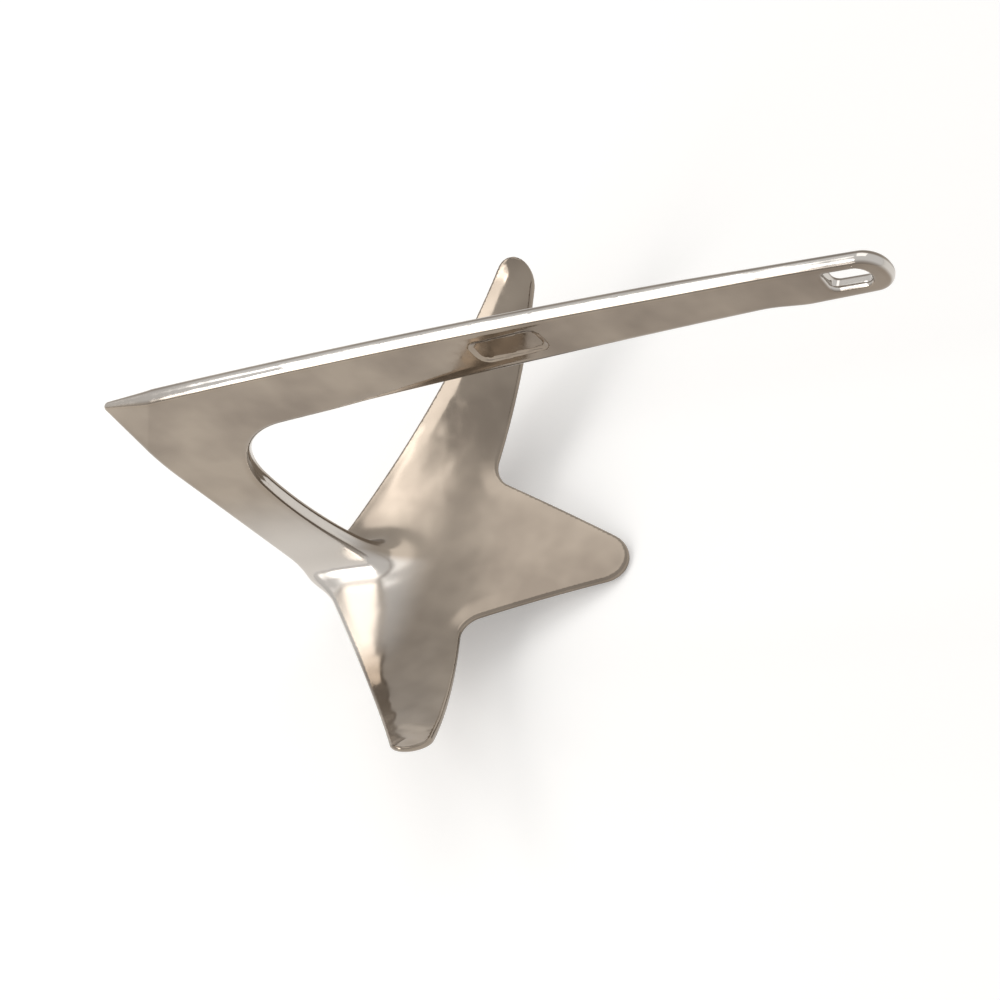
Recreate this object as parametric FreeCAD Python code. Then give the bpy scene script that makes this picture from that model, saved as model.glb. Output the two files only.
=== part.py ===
import FreeCAD, Part
import math
import os

# Claw anchor cast in one piece of stainless steel, 10 kg class, lengths in millimetres.
# It is drawn in its own frame first: X runs from the nose to the shackle eye, Y across the
# claw, Z up. At the end the casting is laid down as it comes to rest on a floor.

# Shank, seen from the side
SHANK_LENGTH = 606.0
SHANK_THICKNESS = 13.2
SHANK_RISE = 16.3
SHANK_TOP_RADIUS = 6250.0
SHANK_LOW_RADIUS = 8800.0
NECK_DEPTH = 35.5
NECK_RADIUS = 90.0
NECK_TO_END = 96.0

# Crown and nose
NOSE_RADIUS = 4.0
NOSE_DROP = 9.5
NOSE_EDGE_THICKNESS = 5.0
CREASE_LOW_X = 7.6
CREASE_LOW_Z = -53.6
CREASE_TOP_X = 42.0
CREASE_TOP_Z = -2.0
CROWN_LOW_Z = -51.8
CROWN_CORNER_RADIUS = 60.0

# Shackle eye
EYE_DEPTH = 36.0
EYE_THICKNESS = 11.3
EYE_TAPER_START = 440.0
EYE_TAPER_END = 545.0
EYE_CORNER_RADIUS = 17.0
EYE_SWELL_RADIUS = 60.0
EYE_SWELL_DEPTH = 38.0
EYE_SWELL_TO_END = 66.0
SLOT_LENGTH = 31.0
SLOT_HEIGHT = 16.8
SLOT_END_WALL = 14.0
SLOT_TOP_WALL = 8.9
SLOT_INNER_CORNER = 4.0
SLOT_EDGE_EASE = 2.2

# Recess for a weight mark on the shank's near side
RECESS_LENGTH = 57.0
RECESS_HEIGHT = 24.0
RECESS_DEPTH = 1.2
RECESS_START = 293.5
RECESS_CENTRE_Z = -8.2
RECESS_TILT = 5.0
RECESS_CORNER = 9.0

# Arm
ARM_KNEE_X = 2.2
ARM_KNEE_Z = -50.0
ARM_KNEE_RADIUS = 220.0
ARM_FOOT_X = 28.6
ARM_DEPTH_FOOT = 79.6
ARM_DEPTH_CROWN = 64.7
ARM_FRONT_RADIUS = 234.0
ARM_HEEL_RADIUS = 16.0
ARM_HEEL_DROP = 17.0

# Claw: a saddle-shaped plate, hollow across and slightly arched along, with a thick spine
# under the palm and under each fluke
HEEL_X = 27.2
HEEL_Z = -223.4
CLAW_PITCH = 10.0
CLAW_HOLLOW_RADIUS = 309.0
CLAW_ARCH_RADIUS = 525.0
CLAW_REACH = 240.0
CLAW_HALF_WIDTH = 198.0
PLATE_THICKNESS = 6.0
SIDE_TIP_ADVANCE = 146.7
SIDE_TIP_RADIUS = 14.2
CENTRAL_TIP_RADIUS = 20.0
NOTCH_ADVANCE = 154.0
NOTCH_OFFSET = 68.0
NOTCH_RADIUS = 16.0
HEEL_SWEEP_RADIUS = 44.7
HEEL_SWEEP_ADVANCE = -8.0
HEEL_SWEEP_OFFSET = 55.0
HEEL_INSET = 2.4
SADDLE_REACH = 25.0
SADDLE_SPREAD = 48.0

# Spines under the claw: where they are widest or narrowest, and how thick each place is
# compared with the palm
PALM_THICKNESS = 40.0
HEEL_THICKNESS = 14.0
ROOT_SHARE = 0.8
MID_SHARE = 0.55
NEAR_TIP_SHARE = 0.36
TIP_SHARE = 0.95
SPINE_MARGIN = 6.0
CROSSING_ADVANCE = 78.0
CROSSING_HALF_LENGTH = 38.0
SIDE_ROOT_ADVANCE = 95.5
SIDE_ROOT_HALF_WIDTH = 37.0
SIDE_MID_ADVANCE = 120.5
SIDE_MID_HALF_WIDTH = 23.5
SIDE_NEAR_TIP_ADVANCE = 133.5
SIDE_NEAR_TIP_INSET = 28.0
SIDE_NEAR_TIP_HALF_WIDTH = 16.0
HEEL_ROOT_ADVANCE = 24.0
HEEL_ROOT_HALF_WIDTH = 16.0
PALM_ADVANCE = 70.0
PALM_HALF_WIDTH = 44.0
CENTRAL_ROOT_SETBACK = 10.0
CENTRAL_ROOT_HALF_WIDTH = 42.0
CENTRAL_MID_HALF_WIDTH = 27.0

# Rounding left by the foundry and the polishing wheel
BAR_EDGE_ROUND = 4.0
RIM_EASE = 2.0
FOOT_FLARE = 12.0
FLARE_SINK = 0.4

# Fineness used when the resting pose is measured
PROFILE_STEP = 0.1

os.makedirs("parts", exist_ok=True)
Vector = FreeCAD.Vector
HALF = SHANK_THICKNESS / 2.0
ACROSS = Vector(0, 1, 0)
PITCH_ANGLE = math.radians(CLAW_PITCH)
FORWARD = Vector(math.cos(PITCH_ANGLE), 0, -math.sin(PITCH_ANGLE))
UPWARD = Vector(math.sin(PITCH_ANGLE), 0, math.cos(PITCH_ANGLE))
HEEL = Vector(HEEL_X, 0, HEEL_Z)
HALF_REACH = CLAW_REACH / 2.0
CLAW_CREST = HALF_REACH ** 2 / (2.0 * CLAW_ARCH_RADIUS)
ARCH_CENTRE = HEEL + FORWARD * HALF_REACH + UPWARD * (CLAW_CREST - CLAW_ARCH_RADIUS)


def unit(vector):
    """Return the vector scaled to length one."""
    return vector / vector.Length


def bisector(before, after, radius):
    """Direction halfway through the turn that the belt makes round a pulley."""
    turn = math.atan2(before.x * after.y - before.y * after.x, before.dot(after))
    if turn * radius < 0:
        turn += math.copysign(2.0 * math.pi, radius)
    cosine = math.cos(turn / 2.0)
    sine = math.sin(turn / 2.0)
    return Vector(before.x * cosine - before.y * sine, before.x * sine + before.y * cosine, 0)


def belt(pulleys, place):
    """Closed wire that runs like a belt round circles, given anticlockwise as (x, y, radius).

    A positive radius is an outer corner, a negative one an inner corner and zero a sharp point.
    """
    count = len(pulleys)
    normals = []
    for i in range(count):
        x1, y1, r1 = pulleys[i]
        x2, y2, r2 = pulleys[(i + 1) % count]
        span = math.hypot(x2 - x1, y2 - y1)
        along = Vector((x2 - x1) / span, (y2 - y1) / span, 0)
        outward = Vector(along.y, -along.x, 0)
        lean = round((r1 - r2) / span, 9)
        normals.append(along * lean + outward * math.sqrt(1.0 - lean * lean))
    edges = []
    for i in range(count):
        x, y, radius = pulleys[i]
        centre = Vector(x, y, 0)
        start = centre + normals[i - 1] * radius
        end = centre + normals[i] * radius
        if (end - start).Length > 1e-4:
            middle = centre + bisector(normals[i - 1], normals[i], radius) * radius
            edges.append(Part.Arc(place(start), place(middle), place(end)).toShape())
        nx, ny, next_radius = pulleys[(i + 1) % count]
        next_start = Vector(nx, ny, 0) + normals[i] * next_radius
        if (next_start - end).Length > 1e-4:
            edges.append(Part.makeLine(place(end), place(next_start)))
    return Part.Wire(edges)


def wrap_pulley(first, second, radius):
    """Large pulley centred below, that two small pulleys touch from inside."""
    x1, y1, r1 = first
    x2, y2, r2 = second
    size = abs(radius)
    span = math.hypot(x2 - x1, y2 - y1)
    reach = size - abs(r1)
    along = (reach ** 2 - (size - abs(r2)) ** 2 + span ** 2) / (2.0 * span)
    drop = math.sqrt(reach ** 2 - along ** 2)
    ex = (x2 - x1) / span
    ey = (y2 - y1) / span
    side = -1.0 if ex > 0 else 1.0
    return (x1 + ex * along - ey * drop * side, y1 + ey * along + ex * drop * side, radius)


def side_view(point):
    """Place a side-view point (x, z) on the near side face of the shank."""
    return Vector(point.x, -HALF, point.y)


def crown_corner():
    """Pulley of the inner corner between arm and shank."""
    middle_x = ARM_DEPTH_CROWN + CROWN_CORNER_RADIUS
    return (middle_x, CROWN_LOW_Z - CROWN_CORNER_RADIUS, -CROWN_CORNER_RADIUS)


def arm_front():
    """Large pulley that hollows the arm's front from the crown to the foot."""
    foot = (ARM_FOOT_X + ARM_DEPTH_FOOT, HEEL_Z - ARM_HEEL_DROP, 0.0)
    return wrap_pulley(foot, crown_corner(), -ARM_FRONT_RADIUS)


def side_outline():
    """Pulleys of the side view: down the arm's back, up its front, out along the shank and back."""
    swell_x = SHANK_LENGTH - EYE_SWELL_TO_END
    foot_z = HEEL_Z - ARM_HEEL_DROP
    foot = (ARM_FOOT_X + ARM_DEPTH_FOOT, foot_z, 0.0)
    eye_x = SHANK_LENGTH - EYE_CORNER_RADIUS
    nose = (NOSE_RADIUS, -NOSE_DROP, NOSE_RADIUS)
    knee = (ARM_KNEE_X + ARM_KNEE_RADIUS, ARM_KNEE_Z, ARM_KNEE_RADIUS)
    heel = (ARM_FOOT_X + ARM_HEEL_RADIUS, foot_z + ARM_HEEL_RADIUS, ARM_HEEL_RADIUS)
    neck = (SHANK_LENGTH - NECK_TO_END, SHANK_RISE - NECK_DEPTH - NECK_RADIUS, -NECK_RADIUS)
    swell = (swell_x, SHANK_RISE - EYE_SWELL_DEPTH + EYE_SWELL_RADIUS, EYE_SWELL_RADIUS)
    eye_low = (eye_x, SHANK_RISE - EYE_DEPTH + EYE_CORNER_RADIUS, EYE_CORNER_RADIUS)
    eye_top = (eye_x, SHANK_RISE - EYE_CORNER_RADIUS, EYE_CORNER_RADIUS)
    return [
        nose, knee, heel, foot, arm_front(), crown_corner(),
        wrap_pulley(crown_corner(), neck, -SHANK_LOW_RADIUS), neck, swell, eye_low, eye_top,
        wrap_pulley(eye_top, nose, SHANK_TOP_RADIUS),
    ]


def mirrored(shape):
    """The same shape on the other side of the casting's middle plane."""
    return shape.mirror(Vector(0, 0, 0), ACROSS)


def nose_cutter():
    """Wedge that thins the near side of the crown towards the nose, from its crease on."""
    low = Vector(CREASE_LOW_X, 0, CREASE_LOW_Z)
    top = Vector(CREASE_TOP_X, 0, CREASE_TOP_Z)
    crease = unit(top - low)
    ahead = Vector(-crease.z, 0, crease.x)
    reach = (Vector(0, 0, -NOSE_DROP) - low).dot(ahead)
    run = 2.0 * reach
    depth = 2.0 * HALF - NOSE_EDGE_THICKNESS
    start = low - crease * SHANK_LENGTH - ACROSS * HALF
    corners = [start, start + ahead * run + ACROSS * depth, start + ahead * run - ACROSS * HALF,
               start - ACROSS * HALF]
    return Part.Face(Part.makePolygon(corners + [start])).extrude(crease * 2.0 * SHANK_LENGTH)


def eye_cutter():
    """Wedge that thins the near side of the shank towards the eye."""
    half_eye = EYE_THICKNESS / 2.0
    low = -SHANK_LENGTH
    end = 2.0 * SHANK_LENGTH
    corners = [Vector(EYE_TAPER_START, -HALF, low), Vector(EYE_TAPER_END, -half_eye, low),
               Vector(end, -half_eye, low), Vector(end, -3.0 * HALF, low),
               Vector(EYE_TAPER_START, -3.0 * HALF, low)]
    return Part.Face(Part.makePolygon(corners + [corners[0]])).extrude(Vector(0, 0, end))


def slot_wire(grow, y):
    """Outline of the shackle slot in the plane at y: square-cornered inwards, round at the eye's end."""
    end_x = SHANK_LENGTH - SLOT_END_WALL
    top_z = SHANK_RISE - SLOT_TOP_WALL
    low_z = top_z - SLOT_HEIGHT
    round_x = end_x - SLOT_HEIGHT / 2.0
    start_x = end_x - SLOT_LENGTH + SLOT_INNER_CORNER
    outline = [
        (round_x, (top_z + low_z) / 2.0, SLOT_HEIGHT / 2.0 + grow),
        (start_x, top_z - SLOT_INNER_CORNER, SLOT_INNER_CORNER + grow),
        (start_x, low_z + SLOT_INNER_CORNER, SLOT_INNER_CORNER + grow),
    ]
    return belt(outline, lambda point: Vector(point.x, y, point.y))


def slot_cutters():
    """Bar that cuts the shackle slot, and the flares that ease its lips at both side faces."""
    lip_end = SLOT_EDGE_EASE - EYE_THICKNESS / 2.0
    wide = slot_wire(lip_end + HALF, -HALF)
    lip = Part.makeLoft([wide, slot_wire(0.0, lip_end)], True, True)
    hole = Part.Face(slot_wire(0.0, -HALF)).extrude(ACROSS * SHANK_THICKNESS)
    return [hole, lip, mirrored(lip)]


def recess_cutter():
    """Shallow rounded pocket in the near side face."""
    half_height = RECESS_HEIGHT / 2.0
    inset = RECESS_LENGTH / 2.0 - RECESS_CORNER
    rise = half_height - RECESS_CORNER
    outline = [(x * inset, z * rise, RECESS_CORNER) for x, z in ((1, -1), (1, 1), (-1, 1), (-1, -1))]
    tilt = math.radians(RECESS_TILT)
    middle_x = RECESS_START + RECESS_LENGTH / 2.0

    def tilted(point):
        x = middle_x + point.x * math.cos(tilt) - point.y * math.sin(tilt)
        z = RECESS_CENTRE_Z + point.x * math.sin(tilt) + point.y * math.cos(tilt)
        return Vector(x, -HALF - RECESS_DEPTH, z)

    return Part.Face(belt(outline, tilted)).extrude(ACROSS * 2.0 * RECESS_DEPTH)


def bar():
    """Shank, crown and arm as one bent bar, with rounded edges, thinned to nose and eye."""
    solid = Part.Face(belt(side_outline(), side_view)).extrude(ACROSS * SHANK_THICKNESS)
    foot_z = HEEL_Z - ARM_HEEL_DROP
    rounded = [edge for edge in solid.Edges if edge.BoundBox.YLength < HALF and edge.BoundBox.ZMax > foot_z + 1.0]
    solid = solid.makeFillet(BAR_EDGE_ROUND, rounded)
    for cutter in (nose_cutter(), eye_cutter()):
        solid = solid.cut(cutter).cut(mirrored(cutter))
    for cutter in slot_cutters() + [recess_cutter()]:
        solid = solid.cut(cutter)
    return solid


def foot_section(height):
    """Outline round the arm at a height above the palm, wider the nearer it is to the palm."""
    rest = FOOT_FLARE - max(0.0, height)
    grow = FOOT_FLARE - math.sqrt(FOOT_FLARE ** 2 - rest ** 2) - FLARE_SINK
    corner = BAR_EDGE_ROUND + grow / 2.0
    back_x = ARM_FOOT_X + 2.0 * BAR_EDGE_ROUND
    middle_x, middle_z, radius = arm_front()
    front_x = middle_x - math.sqrt(radius ** 2 - (HEEL_Z + height - middle_z) ** 2) + grow / 3.0 - corner
    back_y = HALF + grow / 3.0 - BAR_EDGE_ROUND
    front_y = HALF + grow - corner
    outline = [(back_x, back_y, BAR_EDGE_ROUND), (back_x, -back_y, BAR_EDGE_ROUND),
               (front_x, -front_y, corner), (front_x, front_y, corner)]
    return belt(outline, lambda point: Vector(point.x, point.y, HEEL_Z + height))


def foot_flare():
    """Hollow flare that blends the arm's sides and front into the palm."""
    steps = (-0.2, 0.0, 0.1, 0.3, 0.6, 1.0)
    return Part.makeLoft([foot_section(step * FOOT_FLARE) for step in steps], True, True)


def claw_outline():
    """Pulleys of the star outline, laid flat, with the heel at the origin."""
    side_y = CLAW_HALF_WIDTH - SIDE_TIP_RADIUS
    far_side = [
        (NOTCH_ADVANCE, NOTCH_OFFSET, -NOTCH_RADIUS),
        (SIDE_TIP_ADVANCE, side_y, SIDE_TIP_RADIUS),
        (HEEL_SWEEP_ADVANCE, HEEL_SWEEP_OFFSET, -HEEL_SWEEP_RADIUS),
    ]
    near_side = [(x, -y, radius) for x, y, radius in reversed(far_side)]
    tip = (CLAW_REACH - CENTRAL_TIP_RADIUS, 0.0, CENTRAL_TIP_RADIUS)
    heel = (HALF + HEEL_INSET, 0.0, HALF - HEEL_INSET)
    return [tip] + far_side + [heel] + near_side


def saddle(above, below):
    """Saddle-shaped slab from a height above the claw's hollow top to a depth below it."""
    major = CLAW_ARCH_RADIUS + CLAW_HOLLOW_RADIUS
    pole = ARCH_CENTRE + UPWARD * major
    reach = math.radians(SADDLE_REACH)
    slant = math.radians(SADDLE_SPREAD)

    def rim(radius, angle):
        return pole + (ACROSS * math.sin(angle) - UPWARD * math.cos(angle)) * radius

    top = CLAW_HOLLOW_RADIUS - above
    low = CLAW_HOLLOW_RADIUS + below
    edges = [
        Part.Arc(rim(top, -slant), rim(top, 0.0), rim(top, slant)).toShape(),
        Part.makeLine(rim(top, slant), rim(low, slant)),
        Part.Arc(rim(low, slant), rim(low, 0.0), rim(low, -slant)).toShape(),
        Part.makeLine(rim(low, -slant), rim(top, -slant)),
    ]
    section = Part.Face(Part.Wire(edges))
    section.rotate(ARCH_CENTRE, ACROSS, -math.degrees(reach))
    return section.revolve(ARCH_CENTRE, ACROSS, 2.0 * math.degrees(reach))


def saddle_point(advance, offset, depth):
    """Point under the hollow top at a place of the plan, and the direction out of the hollow."""
    major = CLAW_ARCH_RADIUS + CLAW_HOLLOW_RADIUS
    radius = major - math.sqrt((CLAW_HOLLOW_RADIUS + depth) ** 2 - offset ** 2)
    step = advance - HALF_REACH
    radial = FORWARD * step + UPWARD * math.sqrt(radius ** 2 - step ** 2)
    point = ARCH_CENTRE + radial + ACROSS * offset
    return point, unit(point - ARCH_CENTRE - unit(radial) * major)


def claw_plate():
    """Saddle-shaped plate cut to the star, with its rims eased."""
    def plate_view(point):
        return HEEL + FORWARD * point.x + ACROSS * point.y - UPWARD * 2.0 * PALM_THICKNESS

    star = Part.Face(belt(claw_outline(), plate_view)).extrude(UPWARD * CLAW_HALF_WIDTH)
    plate = star.common(saddle(0.0, PLATE_THICKNESS))
    rims = []
    for face in plate.Faces:
        if face.Surface.TypeId == "Part::GeomToroid":
            rims += face.OuterWire.Edges
    return plate.makeChamfer(RIM_EASE, rims)


def ellipse_wire(centre, long_axis, short_axis, half_long, half_short):
    """Closed ellipse with its half lengths along two directions."""
    if half_short > half_long:
        long_axis, short_axis = short_axis, long_axis * -1.0
        half_long, half_short = half_short, half_long
    ellipse = Part.Ellipse(centre + long_axis * half_long, centre + short_axis * half_short, centre)
    return Part.Wire(ellipse.toShape())


def spine(stations, wide_axis):
    """Loft of ellipses under the hollow, from (advance, offset, half width, thickness)."""
    middle = PLATE_THICKNESS / 2.0
    wires = []
    for advance, offset, half_width, thickness in stations:
        centre, outward = saddle_point(advance, offset, middle)
        wires.append(ellipse_wire(centre, wide_axis, outward, half_width, thickness - middle))
    return Part.makeLoft(wires, True, False)


def side_spine():
    """Spine from one side tip across the palm to the other."""
    side_y = CLAW_HALF_WIDTH - SIDE_TIP_RADIUS
    near_tip_y = side_y - SIDE_NEAR_TIP_INSET
    middle_y = (NOTCH_OFFSET + side_y) / 2.0
    half = [
        (CROSSING_ADVANCE, 0.0, CROSSING_HALF_LENGTH, PALM_THICKNESS),
        (SIDE_ROOT_ADVANCE, NOTCH_OFFSET, SIDE_ROOT_HALF_WIDTH, ROOT_SHARE * PALM_THICKNESS),
        (SIDE_MID_ADVANCE, middle_y, SIDE_MID_HALF_WIDTH, MID_SHARE * PALM_THICKNESS),
        (SIDE_NEAR_TIP_ADVANCE, near_tip_y, SIDE_NEAR_TIP_HALF_WIDTH, NEAR_TIP_SHARE * PALM_THICKNESS),
        (SIDE_TIP_ADVANCE, side_y, SIDE_TIP_RADIUS - SPINE_MARGIN, TIP_SHARE * PLATE_THICKNESS),
    ]
    stations = [(a, -y, w, t) for a, y, w, t in reversed(half[1:])] + half
    return spine(stations, FORWARD)


def central_spine():
    """Spine from the heel to the tip of the central fluke."""
    tip_x = CLAW_REACH - CENTRAL_TIP_RADIUS
    root_x = NOTCH_ADVANCE - CENTRAL_ROOT_SETBACK
    middle_x = (NOTCH_ADVANCE + tip_x) / 2.0
    stations = [
        (HALF + HEEL_INSET, 0.0, HALF - HEEL_INSET, HEEL_THICKNESS),
        (HEEL_ROOT_ADVANCE, 0.0, HEEL_ROOT_HALF_WIDTH, ROOT_SHARE * PALM_THICKNESS),
        (PALM_ADVANCE, 0.0, PALM_HALF_WIDTH, PALM_THICKNESS),
        (root_x, 0.0, CENTRAL_ROOT_HALF_WIDTH, ROOT_SHARE * PALM_THICKNESS),
        (middle_x, 0.0, CENTRAL_MID_HALF_WIDTH, MID_SHARE * PALM_THICKNESS),
        (tip_x, 0.0, CENTRAL_TIP_RADIUS - SPINE_MARGIN, TIP_SHARE * PLATE_THICKNESS),
    ]
    return spine(stations, ACROSS)


def casting():
    """The whole anchor as one solid in its drawing frame."""
    spines = side_spine().fuse(central_spine()).cut(saddle(2.0 * PALM_THICKNESS, PLATE_THICKNESS / 2.0))
    claw = claw_plate().fuse(spines)
    return bar().fuse([claw, foot_flare()]).removeSplitter().Solids[0]


def resting_pair(solid):
    """The two points of the lengthwise profile that the casting rests on under its weight."""
    points = []
    for wire in solid.slice(ACROSS, 0.0):
        points += wire.discretize(Deflection=PROFILE_STEP)
    balance = solid.CenterOfMass.x
    behind = [point for point in points if point.x < balance and point.z < HEEL_Z]
    ahead = [point for point in points if point.x > balance and point.z < HEEL_Z]

    def height_at_balance(pair):
        low, high = pair
        return low.z + (high.z - low.z) * (balance - low.x) / (high.x - low.x)

    return min(((low, high) for low in behind for high in ahead), key=height_at_balance)


def laid_down(solid):
    """Tilt the casting until it rests, then centre it over the origin with its lowest point at 0."""
    back, front = resting_pair(solid)
    tilt = math.degrees(math.atan2(front.z - back.z, front.x - back.x))
    solid.rotate(Vector(0, 0, 0), ACROSS, tilt)
    corners = solid.tessellate(PROFILE_STEP)[0]
    middle_x = (min(point.x for point in corners) + max(point.x for point in corners)) / 2.0
    shift = Vector(-middle_x, 0, -min(point.z for point in corners))
    solid.translate(shift)
    print("resting tilt", tilt, "shift", shift, "touching at", back.x, front.x)
    return solid


if __name__ == "__main__":
    anchor = laid_down(casting())
    print("volume in litres", anchor.Volume / 1e6, "valid", anchor.isValid(), "solids", len(anchor.Solids))
    anchor.exportStep("parts/claw_anchor.step")
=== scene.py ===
"""Claw anchor cast in one piece of stainless steel and mirror polished, on a pale studio floor.

The casting is described as one smooth field of signed distances in its drawing frame, in
millimetres: X runs from the nose to the shackle eye, Y across the claw, Z up. The field is
turned into a fine mesh, laid down as the casting rests on a floor, and scaled to metres.
"""

import logging
import math
from dataclasses import dataclass, field
from enum import Enum
from typing import Sequence

import bpy
import numpy as np
from mathutils import Matrix, Vector


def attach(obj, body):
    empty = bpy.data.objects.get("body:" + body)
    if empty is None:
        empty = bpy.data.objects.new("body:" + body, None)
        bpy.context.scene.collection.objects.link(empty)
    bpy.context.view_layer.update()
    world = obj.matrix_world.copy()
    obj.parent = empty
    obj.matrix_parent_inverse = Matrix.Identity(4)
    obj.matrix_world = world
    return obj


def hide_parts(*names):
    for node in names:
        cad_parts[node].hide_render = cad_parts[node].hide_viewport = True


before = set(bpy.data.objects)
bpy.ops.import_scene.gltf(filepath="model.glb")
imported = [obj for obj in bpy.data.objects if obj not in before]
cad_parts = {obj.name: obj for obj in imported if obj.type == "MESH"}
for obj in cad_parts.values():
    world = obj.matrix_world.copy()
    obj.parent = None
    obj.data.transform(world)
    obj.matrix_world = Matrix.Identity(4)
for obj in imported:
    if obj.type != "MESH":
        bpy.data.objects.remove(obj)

LOG = logging.getLogger("claw_anchor")
MILLIMETRE = 0.001
# A distance beyond all others, and the least length that anything is divided by.
FAR = 1e6
TINY = 1e-9
# Numbers of the sockets of a mix node.
FIRST_NUMBER, SECOND_NUMBER, FIRST_COLOUR, SECOND_COLOUR, MIXED_COLOUR = 2, 3, 6, 7, 2

Pulley = tuple[float, float, float]
Colour = tuple[float, float, float, float]
Profile = tuple[np.ndarray, ...]
Socket = bpy.types.NodeSocket


def linear_colour(code: str) -> Colour:
    """Turn an sRGB hex colour into linear light, by the curve of the sRGB standard.

    Args:
        code: Six hex digits, with or without a leading hash.

    Returns:
        Linear red, green and blue, and an alpha of one.
    """
    digits = code.lstrip("#")
    channels = [int(digits[i : i + 2], 16) / 255.0 for i in (0, 2, 4)]
    linear = [c / 12.92 if c <= 0.04045 else ((c + 0.055) / 1.055) ** 2.4 for c in channels]
    return (linear[0], linear[1], linear[2], 1.0)


def smooth_step(value: np.ndarray) -> np.ndarray:
    """Ease from 0 to 1 while the value runs from 0 to 1."""
    share = np.clip(value, 0.0, 1.0)
    return share * share * (3.0 - 2.0 * share)


def rising(value: np.ndarray, start: float, end: float) -> np.ndarray:
    """Ease from 0 to 1 while the value runs from start to end."""
    return smooth_step((value - start) / (end - start))


def soft_lower(first: np.ndarray, second: np.ndarray, reach: float) -> np.ndarray:
    """Lower of two fields, with a soft hollow where they come within reach of each other."""
    share = np.maximum(reach - np.abs(first - second), 0.0) / reach
    return np.minimum(first, second) - share**3 * reach / 6.0


def soft_upper(first: np.ndarray, second: np.ndarray, reach: float) -> np.ndarray:
    """Upper of two fields, with a soft hollow where they come within reach of each other."""
    return -soft_lower(-first, -second, reach)


def rounded_slab(outline: np.ndarray, across: np.ndarray, radius: np.ndarray | float) -> np.ndarray:
    """Field of a slab with rounded edges.

    Args:
        outline: Signed distance to the slab's outline.
        across: Signed distance to its two flat faces.
        radius: Radius of the edges.

    Returns:
        Signed distance to the slab.
    """
    side = outline + radius
    face = across + radius
    outside = np.hypot(np.maximum(side, 0.0), np.maximum(face, 0.0))
    return np.minimum(np.maximum(side, face), 0.0) + outside - radius


@dataclass
class Belt:
    """Closed outline that runs like a belt round circles, given anticlockwise.

    A circle of positive radius is an outer corner and one of negative radius an inner corner.
    """

    pulleys: Sequence[Pulley]
    normals: list[tuple[float, float]] = field(default_factory=list)
    slack: float = 1e-6
    shortest_run: float = 1e-4
    lean_decimals: int = 9

    def __post_init__(self) -> None:
        """Work out the outward direction of each straight run."""
        for (x1, y1, r1), (x2, y2, r2) in zip(self.pulleys, [*self.pulleys[1:], self.pulleys[0]]):
            span = math.hypot(x2 - x1, y2 - y1)
            ex, ey = (x2 - x1) / span, (y2 - y1) / span
            lean = round((r1 - r2) / span, self.lean_decimals)
            out = math.sqrt(max(0.0, 1.0 - lean * lean))
            self.normals.append((ex * lean + ey * out, ey * lean - ex * out))

    def distance(self, x: np.ndarray, y: np.ndarray) -> np.ndarray:
        """Signed distance of points to the outline, negative inside.

        Args:
            x: First coordinates of the points.
            y: Second coordinates of the points.

        Returns:
            One distance for each point.
        """
        best = np.full(np.broadcast(x, y).shape, FAR)
        for i, (px, py, radius) in enumerate(self.pulleys):
            n0, n1 = self.normals[i - 1], self.normals[i]
            dx, dy = x - px, y - py
            sign = 1.0 if radius >= 0.0 else -1.0
            after = (n0[0] * dy - n0[1] * dx) >= -self.slack
            before = (dx * n1[1] - dy * n1[0]) >= -self.slack
            signed = sign * np.hypot(dx, dy) - radius
            best = self._nearer(best, signed, after & before)
            qx, qy, q_radius = self.pulleys[(i + 1) % len(self.pulleys)]
            sx, sy = px + n1[0] * radius, py + n1[1] * radius
            ex, ey = qx + n1[0] * q_radius - sx, qy + n1[1] * q_radius - sy
            length = math.hypot(ex, ey)
            if length > self.shortest_run:
                along = ((x - sx) * ex + (y - sy) * ey) / length
                signed = (x - sx) * n1[0] + (y - sy) * n1[1]
                beside = (along >= -self.slack) & (along <= length + self.slack)
                best = self._nearer(best, signed, beside)
        return best

    @staticmethod
    def _nearer(best: np.ndarray, signed: np.ndarray, valid: np.ndarray) -> np.ndarray:
        """Keep the nearer of two signed distances where the second one counts."""
        return np.where(valid & (np.abs(signed) < np.abs(best)), signed, best)


def wrap_pulley(first: Pulley, second: Pulley, radius: float) -> Pulley:
    """Large pulley that two small ones touch from inside.

    Args:
        first: The pulley before it.
        second: The pulley after it.
        radius: Its radius, negative for an inner corner.

    Returns:
        The large pulley.
    """
    size = abs(radius)
    span = math.hypot(second[0] - first[0], second[1] - first[1])
    reach = size - abs(first[2])
    along = (reach**2 - (size - abs(second[2])) ** 2 + span**2) / (2.0 * span)
    drop = math.sqrt(reach**2 - along**2)
    ex, ey = (second[0] - first[0]) / span, (second[1] - first[1]) / span
    side = -1.0 if ex > 0 else 1.0
    return (first[0] + ex * along - ey * drop * side, first[1] + ey * along + ex * drop * side, radius)


@dataclass
class SmoothCurve:
    """Curve through a few stations, without kinks."""

    places: Sequence[float]
    values: Sequence[float]

    def at(self, place: np.ndarray) -> np.ndarray:
        """Value at each place, held level beyond the ends.

        Args:
            place: Places along the curve.

        Returns:
            One value for each place.
        """
        xs, ys = np.asarray(self.places, float), np.asarray(self.values, float)
        slopes = np.gradient(ys, xs)
        p = np.clip(place, xs[0], xs[-1])
        i = np.clip(np.searchsorted(xs, p, side="right") - 1, 0, len(xs) - 2)
        width = xs[i + 1] - xs[i]
        t = (p - xs[i]) / width
        start = (2 * t**3 - 3 * t**2 + 1) * ys[i] + (t**3 - 2 * t**2 + t) * width * slopes[i]
        end = (3 * t**2 - 2 * t**3) * ys[i + 1] + (t**3 - t**2) * width * slopes[i + 1]
        return start + end


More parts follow.
